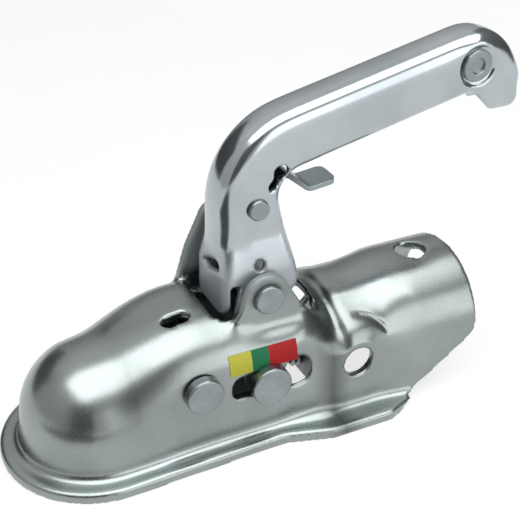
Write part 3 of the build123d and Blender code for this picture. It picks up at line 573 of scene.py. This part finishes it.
@dataclass
class PressedLever(PressedSheet):
    """The lever's channel, with round bends between its web and its flanges."""

    node: str = "lever"
    body: Body = Body.LEVER
    slot: Slot = Slot.LEVER
    voxel: float = 0.7 * MM
    passes: int = 160
    plain_pull: float = 0.012
    spine_half: float = 3.0 * MM
    bend_reach: float = 10.0 * MM
    stem_foot: float = 52.0 * MM
    foot_fade: float = 12.0 * MM
    hook_start: float = 150.0 * MM
    hook_tip: float = 112.0 * MM
    hook_fade: float = 9.0 * MM
    dimple: Point = node_middle("grip_rivet")
    dimple_reach: float = 8.6 * MM
    pivot: Point = joint_place("lever_swing")
    bore: float = 6.6 * MM

    def _pull(self, places: np.ndarray) -> np.ndarray:
        """Strength of the smoothing at each point, from 0 to 1: full along the web above the foot.

        Args:
            places: the points.

        Returns:
            The strengths.
        """
        spine = places[np.abs(places[:, 1]) < self.spine_half]
        tree = KDTree(len(spine))
        for number, (x, _, z) in enumerate(spine):
            tree.insert((x, 0.0, z), number)
        tree.balance()
        away = np.array([tree.find((x, 0.0, z))[2] for x, _, z in places])
        bend = self._ramp(-away, -self.bend_reach, self.fade)
        bend *= self._ramp(places[:, 2], self.stem_foot, self.foot_fade)
        tip = self._ramp(places[:, 2], self.hook_tip, self.hook_fade)
        bend *= np.where(places[:, 0] > self.hook_start, tip, 1.0)
        from_rivet = np.hypot(places[:, 0] - self.dimple[0], places[:, 2] - self.dimple[2])
        bend *= self._ramp(from_rivet, self.dimple_reach, self.fade)
        return np.maximum(bend, self.plain_pull)

    def _press(self, places: np.ndarray) -> None:
        """Opens the pivot's bores to a free fit on the bush.

        Args:
            places: the points, which it moves.
        """
        centre = np.array(self.pivot)[[0, 2]]
        out = places[:, (0, 2)] - centre
        reach = np.maximum(np.hypot(out[:, 0], out[:, 1]), self.bore / 2)
        places[:, (0, 2)] = centre + out * np.maximum(self.bore / reach, 1.0)[:, None]


@dataclass
class PressedBody(PressedSheet):
    """The head's sheet, with a smooth pad round the cross bolt, a drawn neck and a short crease."""

    node: str = "coupling_body"
    body: Body = Body.HEAD
    slot: Slot = Slot.BODY
    voxel: float = 0.9 * MM
    passes: int = 270
    plain_pull: float = 0.005
    pad_centre: Point = mount_place("cross_bolt")
    pad_reach: Pair = (9.5 * MM, 34.0 * MM)
    pad_fade: float = 8.0 * MM
    pad_side: float = 12.0 * MM
    lip_top: float = -7.0 * MM
    ledge_low: Point = (46.0 * MM, 18.5 * MM, 25.5 * MM)
    ledge_high: Point = (90.0 * MM, 31.0 * MM, 38.0 * MM)
    ledge_pull: float = 0.37
    nose_reach: float = 9.0 * MM
    nose_pull: float = 0.22
    neck_x: float = 96.0 * MM
    neck_widths: Pair = (7.0 * MM, 2.4 * MM)
    neck_depth: float = 2.8 * MM
    neck_foot: float = 15.0 * MM
    neck_fade: float = 9.0 * MM
    crease_radius: float = 17.4 * MM
    crease_width: float = 1.0 * MM
    crease_depth: float = 1.2 * MM
    crease_turn: Pair = (28.0, 92.0)
    crease_fade: float = 16.0

    def _press(self, places: np.ndarray) -> None:
        """Draws in the neck behind the ears and the short crease over the cross bolt's hole.

        Args:
            places: the points, which it moves.
        """
        side = np.sign(places[:, 1]) * self._ramp(np.abs(places[:, 1]), self.pad_side, self.fade)
        along, up = (places[:, axis] - self.pad_centre[axis] for axis in (0, 2))
        line = np.exp(-(((np.hypot(along, up) - self.crease_radius) / self.crease_width) ** 2))
        line *= self._band(np.degrees(np.arctan2(up, along)), *self.crease_turn, self.crease_fade)
        behind = places[:, 0] - self.neck_x
        groove = np.exp(-((behind / np.where(behind < 0.0, *self.neck_widths)) ** 2))
        groove *= self._ramp(places[:, 2], self.neck_foot, self.neck_fade)
        reach = np.maximum(np.hypot(places[:, 1], places[:, 2]), self.fade)
        inward = -places[:, 1:] / reach[:, None]
        places[:, 1:] += inward * (self.neck_depth * groove)[:, None]
        places[:, 1] -= self.crease_depth * line * side

    def _pull(self, places: np.ndarray) -> np.ndarray:
        """Strength of the smoothing at each point, from 0 to 1.

        Args:
            places: the points.

        Returns:
            The strengths.
        """
        x, y, z = places[:, 0], np.abs(places[:, 1]), places[:, 2]
        from_bolt = np.hypot(x - self.pad_centre[0], z - self.pad_centre[2])
        pad = self._ramp(from_bolt, self.pad_reach[0], self.fade)
        pad *= self._ramp(-from_bolt, -self.pad_reach[1], self.pad_fade)
        pad *= self._ramp(y, self.pad_side, self.fade) * self._ramp(z, self.lip_top, self.fade)
        ledge = np.full_like(x, self.ledge_pull)
        for value, low, high in zip((x, y, z), self.ledge_low, self.ledge_high):
            ledge *= self._band(value, low, high, self.fade)
        nose = self._band(x, -self.nose_reach, self.nose_reach, self.fade) * self._ramp(z, 0.0, self.fade)
        return np.maximum(np.maximum(pad, ledge), np.maximum(nose * self.nose_pull, self.plain_pull))


@dataclass
class LockSpring:
    """Coil spring behind the slide, made at its rest length; the real spring shortens as the slide goes back,
    which this one doesn't.
    """

    front: float = 56.15 * MM
    rear: float = 89.85 * MM
    centre_z: float = -1.0 * MM
    mean_radius: float = 4.6 * MM
    wire_radius: float = 0.9 * MM
    turns: int = 8
    steps: int = 40
    ring: int = 12
    travel: float = 11.08 * MM

    def build(self, material: bpy.types.Material) -> bpy.types.Object:
        """Makes the coil with closed end turns.

        Args:
            material: the wire's finish.

        Returns:
            The spring.
        """
        count = self.turns * self.steps
        rings = []
        mesh = bmesh.new()
        for step in range(count + 1):
            angle = 2 * math.pi * step / self.steps
            share = self._advance(step / count)
            x = self.front + self.wire_radius + share * (self.rear - self.front - 2 * self.wire_radius)
            out = Vector((0, math.cos(angle), math.sin(angle)))
            middle = Vector((x, 0, self.centre_z)) + out * self.mean_radius
            points = []
            for side in range(self.ring):
                turn = 2 * math.pi * side / self.ring
                offset = out * math.cos(turn) + Vector((math.sin(turn), 0, 0))
                points.append(mesh.verts.new(middle + self.wire_radius * offset))
            rings.append(points)
        for near, far in zip(rings, rings[1:]):
            for side in range(self.ring):
                after = (side + 1) % self.ring
                mesh.faces.new((near[side], near[after], far[after], far[side])).smooth = True
        mesh.faces.new(reversed(rings[0]))
        mesh.faces.new(rings[-1])
        bmesh.ops.recalc_face_normals(mesh, faces=mesh.faces)
        spring = object_from(mesh, "lock_spring_coil", material)
        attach(spring, Body.HEAD.value)
        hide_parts("lock_spring")
        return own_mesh(spring)

    @staticmethod
    def _advance(share: float) -> float:
        """Share of the length reached at a share of the turns, slow at both ends."""
        return share * share * (3 - 2 * share)


def object_from(mesh: bmesh.types.BMesh, name: str, material: bpy.types.Material) -> bpy.types.Object:
    """Makes a mesh object.

    Args:
        mesh: its geometry, in metres in the row frame.
        name: its name.
        material: its finish.

    Returns:
        The object.
    """
    data = bpy.data.meshes.new(name)
    mesh.to_mesh(data)
    mesh.free()
    data.materials.append(material)
    made = bpy.data.objects.new(name, data)
    bpy.context.scene.collection.objects.link(made)
    LOG.info("made %s", name)
    return made


@dataclass(frozen=True)
class Softbox:
    """An area lamp that faces a point, with its size in metres and its power in watts."""

    name: str
    place: Point
    target: Point
    size: Pair
    power: float

    def build(self) -> None:
        """Hangs the lamp."""
        data = bpy.data.lights.new(self.name, "AREA")
        data.shape = "RECTANGLE"
        data.size, data.size_y = self.size
        data.energy = self.power
        lamp = bpy.data.objects.new(self.name, data)
        lamp.location = self.place
        lamp.rotation_euler = (Vector(self.place) - Vector(self.target)).to_track_quat("Z", "Y").to_euler()
        bpy.context.scene.collection.objects.link(lamp)


@dataclass(frozen=True)
class Card:
    """A grey card that only reflections see, standing or lying with its top away from the middle."""

    name: str
    place: Point
    size: Pair
    low: float
    high: float
    lying: bool = False

    def build(self) -> None:
        """Stands the card, with its brightness rising from low at the bottom to high at the top."""
        material, graph = new_material(self.name)
        where = graph.node("ShaderNodeTexCoord", {}, {}, "Object")
        height = graph.node("ShaderNodeSeparateXYZ", {}, {0: where}, 1)
        half = self.size[1] / 2
        grey = graph.remap(height, -half, half, self.low, self.high)
        shade = graph.node("ShaderNodeEmission", {}, {"Color": grey, "Strength": 1.0})
        graph.node("ShaderNodeOutputMaterial", {}, {"Surface": shade})
        card = flat_panel(self.name, self.size, material)
        card.location = self.place
        facing = Vector(self.place).to_track_quat("Z", "Y").to_euler()
        flat = (0.0, 0.0, math.atan2(-self.place[0], self.place[1]))
        card.rotation_euler = flat if self.lying else facing
        card.visible_camera = False
        card.visible_diffuse = False
        card.visible_shadow = False


@dataclass
class Studio:
    """Camera, floor, lights and reflecting cards."""

    camera_place: Point = (-94.73 * MM, -331.00 * MM, 271.99 * MM)
    camera_back: Point = (-0.3852, -0.7655, 0.5155)
    camera_roll: float = 0.72
    lens: float = 75.57
    sensor: float = 36.0
    fill_colour: Colour = (0.9, 0.95, 1.0)
    fill: float = 0.15
    floor_z: float = -15.5 * MM
    floor_size: float = 12.0
    floor_dark: Colour = (0.30, 0.30, 0.30)
    floor_light: Colour = (0.32, 0.32, 0.32)
    floor_grain: float = 40.0
    floor_detail: float = 2.0
    floor_glow: float = 0.75
    glow_reach: Pair = (0.5, 2.5)
    softboxes: tuple[Softbox, ...] = (
        Softbox("top_softbox", (0.0, -0.4, 1.25), (0.0, -0.4, 0.0), (1.9, 1.25), 19.5),
        Softbox("near_strip", (0.7, -1.45, 0.47), (0.07, 0.0, 0.03), (1.5, 0.98), 7.9),
    )
    cards: tuple[Card, ...] = (
        Card("far_card", (0.0, 1.7, 0.8), (3.6, 2.2), 0.15, 0.9),
        Card("near_card", (0.0, -1.7, 0.8), (3.6, 2.2), 0.5, 0.6),
        Card("left_card", (-1.7, 0.0, 0.8), (3.6, 2.2), 0.5, 0.7),
        Card("right_card", (1.8, 0.0, 0.8), (3.6, 2.2), 0.08, 0.3),
        Card("near_left_flag", (-0.85, -1.25, 0.55), (1.3, 1.5), 0.08, 0.2),
        Card("far_left_flag", (-0.75, 1.3, 0.4), (1.2, 1.0), 0.06, 0.12),
        Card("top_card", (0.0, 0.0, 1.9), (3.6, 3.6), 0.8, 0.8),
        Card("floor_flag", (-0.3, -0.3, -14.5 * MM), (0.26, 0.66), 0.1, 0.1, lying=True),
    )

    def build(self) -> None:
        """Makes the whole studio."""
        scene = bpy.context.scene
        scene.view_settings.view_transform = "Standard"
        self._camera(scene)
        self._world(scene)
        self._floor()
        for item in (*self.softboxes, *self.cards):
            item.build()

    def _camera(self, scene: bpy.types.Scene) -> None:
        """Sets the camera of the photograph.

        Args:
            scene: the scene that looks through it.
        """
        data = bpy.data.cameras.new("photo_camera")
        data.lens = self.lens
        data.sensor_width = self.sensor
        camera = bpy.data.objects.new("photo_camera", data)
        back = Vector(self.camera_back).normalized()
        right = Vector((0, 0, 1)).cross(back).normalized()
        up = back.cross(right)
        roll = math.radians(self.camera_roll)
        side = right * math.cos(roll) + up * math.sin(roll)
        top = up * math.cos(roll) - right * math.sin(roll)
        turn = Matrix((side, top, back)).transposed().to_4x4()
        camera.matrix_world = Matrix.Translation(self.camera_place) @ turn
        scene.collection.objects.link(camera)
        scene.camera = camera

    @staticmethod
    def _shown(graph: Graph) -> Wire:
        """Tells the rays that show the background: from the camera, off metal and through clear things.

        Args:
            graph: the graph that gets the nodes.

        Returns:
            1 for those rays, and 0 for the others.
        """
        rays = ("Is Camera Ray", "Is Glossy Ray", "Is Transmission Ray")
        seen, glossy, through = (graph.node("ShaderNodeLightPath", {}, {}, ray) for ray in rays)
        first = graph.node("ShaderNodeMath", {"operation": "MAXIMUM"}, {0: seen, 1: glossy})
        return graph.node("ShaderNodeMath", {"operation": "MAXIMUM"}, {0: first, 1: through})

    def _world(self, scene: bpy.types.Scene) -> None:
        """White to the camera and in reflections, and a soft grey fill elsewhere.

        Args:
            scene: the scene that gets the world.
        """
        world = bpy.data.worlds.new("studio_world")
        world.use_nodes = True
        scene.world = world
        graph = Graph(world.node_tree)
        grey = (*self.fill_colour, 1.0)
        fill = graph.node("ShaderNodeBackground", {}, {"Color": grey, "Strength": self.fill})
        white = graph.node("ShaderNodeBackground", {}, {"Color": (1.0, 1.0, 1.0, 1.0), "Strength": 1.0})
        both = graph.node("ShaderNodeMixShader", {}, {0: self._shown(graph), 1: fill, 2: white})
        graph.node("ShaderNodeOutputWorld", {}, {"Surface": both})

    def _floor(self) -> None:
        """Makes the white floor, which keeps the object's shadow."""
        material, graph = new_material("white_floor")
        where = graph.node("ShaderNodeTexCoord", {}, {}, "Object")
        grain = graph.noise(where, self.floor_grain, self.floor_detail)
        away = graph.node("ShaderNodeVectorMath", {"operation": "LENGTH"}, {0: where}, "Value")
        near = (self.floor_glow, self.floor_glow, self.floor_glow)
        glow = graph.mix(graph.remap(away, *self.glow_reach, 0.0, 1.0), near, (1.0, 1.0, 1.0))
        shade = graph.mix(grain, self.floor_dark, self.floor_light)
        matt = graph.node("ShaderNodeBsdfDiffuse", {}, {"Color": shade})
        light = graph.node("ShaderNodeEmission", {}, {"Color": glow, "Strength": self._shown(graph)})
        both = graph.node("ShaderNodeAddShader", {}, {0: matt, 1: light})
        graph.node("ShaderNodeOutputMaterial", {}, {"Surface": both})
        floor = flat_panel("studio_floor", (self.floor_size, self.floor_size), material)
        floor.location = (0, 0, self.floor_z)


def flat_panel(name: str, size: Pair, material: bpy.types.Material) -> bpy.types.Object:
    """Makes a flat panel in its own XY plane.

    Args:
        name: its name.
        size: its width and height.
        material: its finish.

    Returns:
        The panel.
    """
    mesh = bmesh.new()
    bmesh.ops.create_grid(mesh, x_segments=1, y_segments=1, size=0.5)
    bmesh.ops.scale(mesh, vec=(size[0], size[1], 1.0), verts=mesh.verts)
    return object_from(mesh, name, material)


def main() -> None:
    """Builds every piece and the studio."""
    logging.basicConfig(level=logging.INFO)
    materials = CadDress(Finishes()).build()
    for sheet in (PressedBody(), PressedLever()):
        sheet.build(materials[sheet.slot])
    LockSpring().build(materials[Slot.SPRING])
    Studio().build()


if __name__ == "__main__":
    main()
